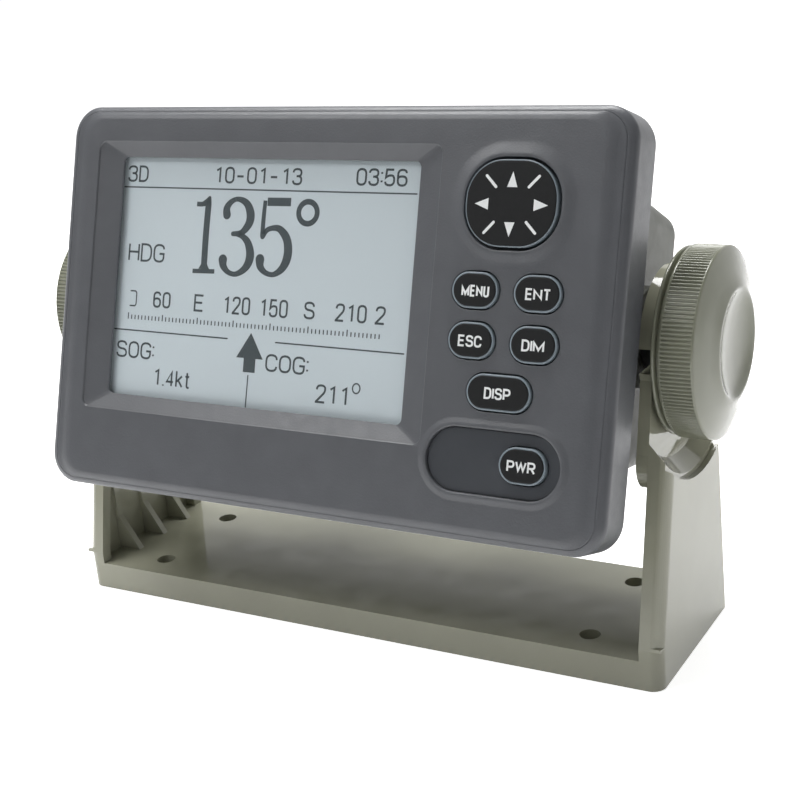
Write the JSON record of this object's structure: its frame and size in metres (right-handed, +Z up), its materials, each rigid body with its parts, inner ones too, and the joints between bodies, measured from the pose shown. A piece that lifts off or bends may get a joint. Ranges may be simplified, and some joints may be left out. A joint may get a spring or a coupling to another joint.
{
  "type": "electronic compass display",
  "caption": "Marine electronic compass display: rectangular head with a window, a cursor pad and oval keys, tilting in a U bracket between two ribbed clamping knobs.",
  "frame": {"origin": "middle of the bracket's underside, on the mounting surface", "axes": "+Z up from the mounting surface, -Y towards the viewer, +X to the viewer's right along the tilt axis"},
  "size_m": [0.2016, 0.0869, 0.1423],
  "materials": {
    "bracket_plastic": "glossy moulded",
    "knob_plastic": "glossy moulded",
    "bezel_plastic": "fine textured moulded",
    "plate_plastic": "fine textured",
    "cover_plastic": "satin moulded",
    "window_glass": "clear polished",
    "panel_glass": "satin polariser",
    "light_plastic": "diffusing",
    "plated_steel": "plated",
    "screw_steel": "stainless",
    "seal_rubber": "matte",
    "board_laminate": "satin solder mask",
    "switch_plastic": "matte",
    "can_aluminium": "bright",
    "ribbon_film": "satin film",
    "socket_plastic": "satin",
    "contact_brass": "satin",
    "key_rubber": "satin silicone"
  },
  "bodies": {
    "bracket": {"u_bracket": "bracket_plastic"},
    "head": {"front_bezel": "bezel_plastic", "power_plate": "plate_plastic", "rear_cover": "cover_plastic", "lcd_window": "window_glass", "lcd_panel": "panel_glass", "backlight": "light_plastic", "lcd_frame": "plated_steel", "frame_screws": "screw_steel", "key_board_screws": "screw_steel", "case_screws": "screw_steel", "board_screws": "screw_steel", "window_gasket": "seal_rubber", "case_gasket": "seal_rubber", "keypad_mat": "seal_rubber", "left_side_washer": "seal_rubber", "right_side_washer": "seal_rubber", "key_board": "board_laminate", "main_board": "board_laminate", "tact_switches": "switch_plastic", "main_chips": "switch_plastic", "capacitors": "can_aluminium", "buzzer": "switch_plastic", "clock_battery": "plated_steel", "display_ribbon": "ribbon_film", "key_ribbon": "ribbon_film", "power_socket": "socket_plastic", "sensor_socket": "socket_plastic", "socket_nuts": "plated_steel", "socket_pins": "contact_brass", "ground_screw": "contact_brass", "left_insert": "contact_brass", "right_insert": "contact_brass"},
    "menu_key_body": {"menu_key": "key_rubber"},
    "enter_key_body": {"enter_key": "key_rubber"},
    "escape_key_body": {"escape_key": "key_rubber"},
    "dim_key_body": {"dim_key": "key_rubber"},
    "display_key_body": {"display_key": "key_rubber"},
    "power_key_body": {"power_key": "key_rubber"},
    "cursor_rocker": {"cursor_pivot": "plated_steel"},
    "cursor_pad_body": {"cursor_pad": "key_rubber"},
    "left_washer_body": {"left_thrust_washer": "seal_rubber"},
    "left_knob_body": {"left_knob": "knob_plastic", "left_stud": "screw_steel"},
    "right_washer_body": {"right_thrust_washer": "seal_rubber"},
    "right_knob_body": {"right_knob": "knob_plastic", "right_stud": "screw_steel"}
  },
  "joints": [
    {"name": "head_tilt", "type": "hinge", "parent": "bracket", "child": "head", "pos_m": [0, 0.009, 0.081], "axis": [-1, 0, 0], "range_deg": [-18, 60]},
    {"name": "menu_key_press", "type": "slide", "parent": "head", "child": "menu_key_body", "axis": [0, 0.9449, -0.3272], "range_m": [0, 0.0008], "stiffness_N_per_m": 1500, "springref_m": -0.0003},
    {"name": "enter_key_press", "type": "slide", "parent": "head", "child": "enter_key_body", "axis": [0, 0.9449, -0.3272], "range_m": [0, 0.0008], "stiffness_N_per_m": 1500, "springref_m": -0.0003},
    {"name": "escape_key_press", "type": "slide", "parent": "head", "child": "escape_key_body", "axis": [0, 0.9449, -0.3272], "range_m": [0, 0.0008], "stiffness_N_per_m": 1500, "springref_m": -0.0003},
    {"name": "dim_key_press", "type": "slide", "parent": "head", "child": "dim_key_body", "axis": [0, 0.9449, -0.3272], "range_m": [0, 0.0008], "stiffness_N_per_m": 1500, "springref_m": -0.0003},
    {"name": "display_key_press", "type": "slide", "parent": "head", "child": "display_key_body", "axis": [0, 0.9449, -0.3272], "range_m": [0, 0.0008], "stiffness_N_per_m": 1500, "springref_m": -0.0003},
    {"name": "power_key_press", "type": "slide", "parent": "head", "child": "power_key_body", "axis": [0, 0.9449, -0.3272], "range_m": [0, 0.0008], "stiffness_N_per_m": 1500, "springref_m": -0.0003},
    {"name": "cursor_up_down", "type": "hinge", "parent": "head", "child": "cursor_rocker", "pos_m": [0.0548, -0.01229, 0.11885], "axis": [1, 0, 0], "range_deg": [-3.5, 3.5], "stiffness_Nm_per_rad": 0.15},
    {"name": "cursor_left_right", "type": "hinge", "parent": "cursor_rocker", "child": "cursor_pad_body", "pos_m": [0.0548, -0.01229, 0.11885], "axis": [0, 0.3272, 0.9449], "range_deg": [-3.5, 3.5], "stiffness_Nm_per_rad": 0.15},
    {"name": "left_knob_travel", "type": "slide", "parent": "head", "child": "left_washer_body", "axis": [-1, 0, 0], "range_m": [0, 0.002]},
    {"name": "left_knob_turn", "type": "hinge", "parent": "left_washer_body", "child": "left_knob_body", "pos_m": [-0.086, 0.009, 0.081], "axis": [-1, 0, 0], "range_deg": [0, 720]},
    {"name": "right_knob_travel", "type": "slide", "parent": "head", "child": "right_washer_body", "axis": [1, 0, 0], "range_m": [0, 0.002]},
    {"name": "right_knob_turn", "type": "hinge", "parent": "right_washer_body", "child": "right_knob_body", "pos_m": [0.086, 0.009, 0.081], "axis": [1, 0, 0], "range_deg": [0, 720]}
  ],
  "couplings": [
    {"joint": "left_knob_travel", "follows": "left_knob_turn", "m_per_rad": 0.00015915},
    {"joint": "right_knob_travel", "follows": "right_knob_turn", "m_per_rad": 0.00015915}
  ]
}
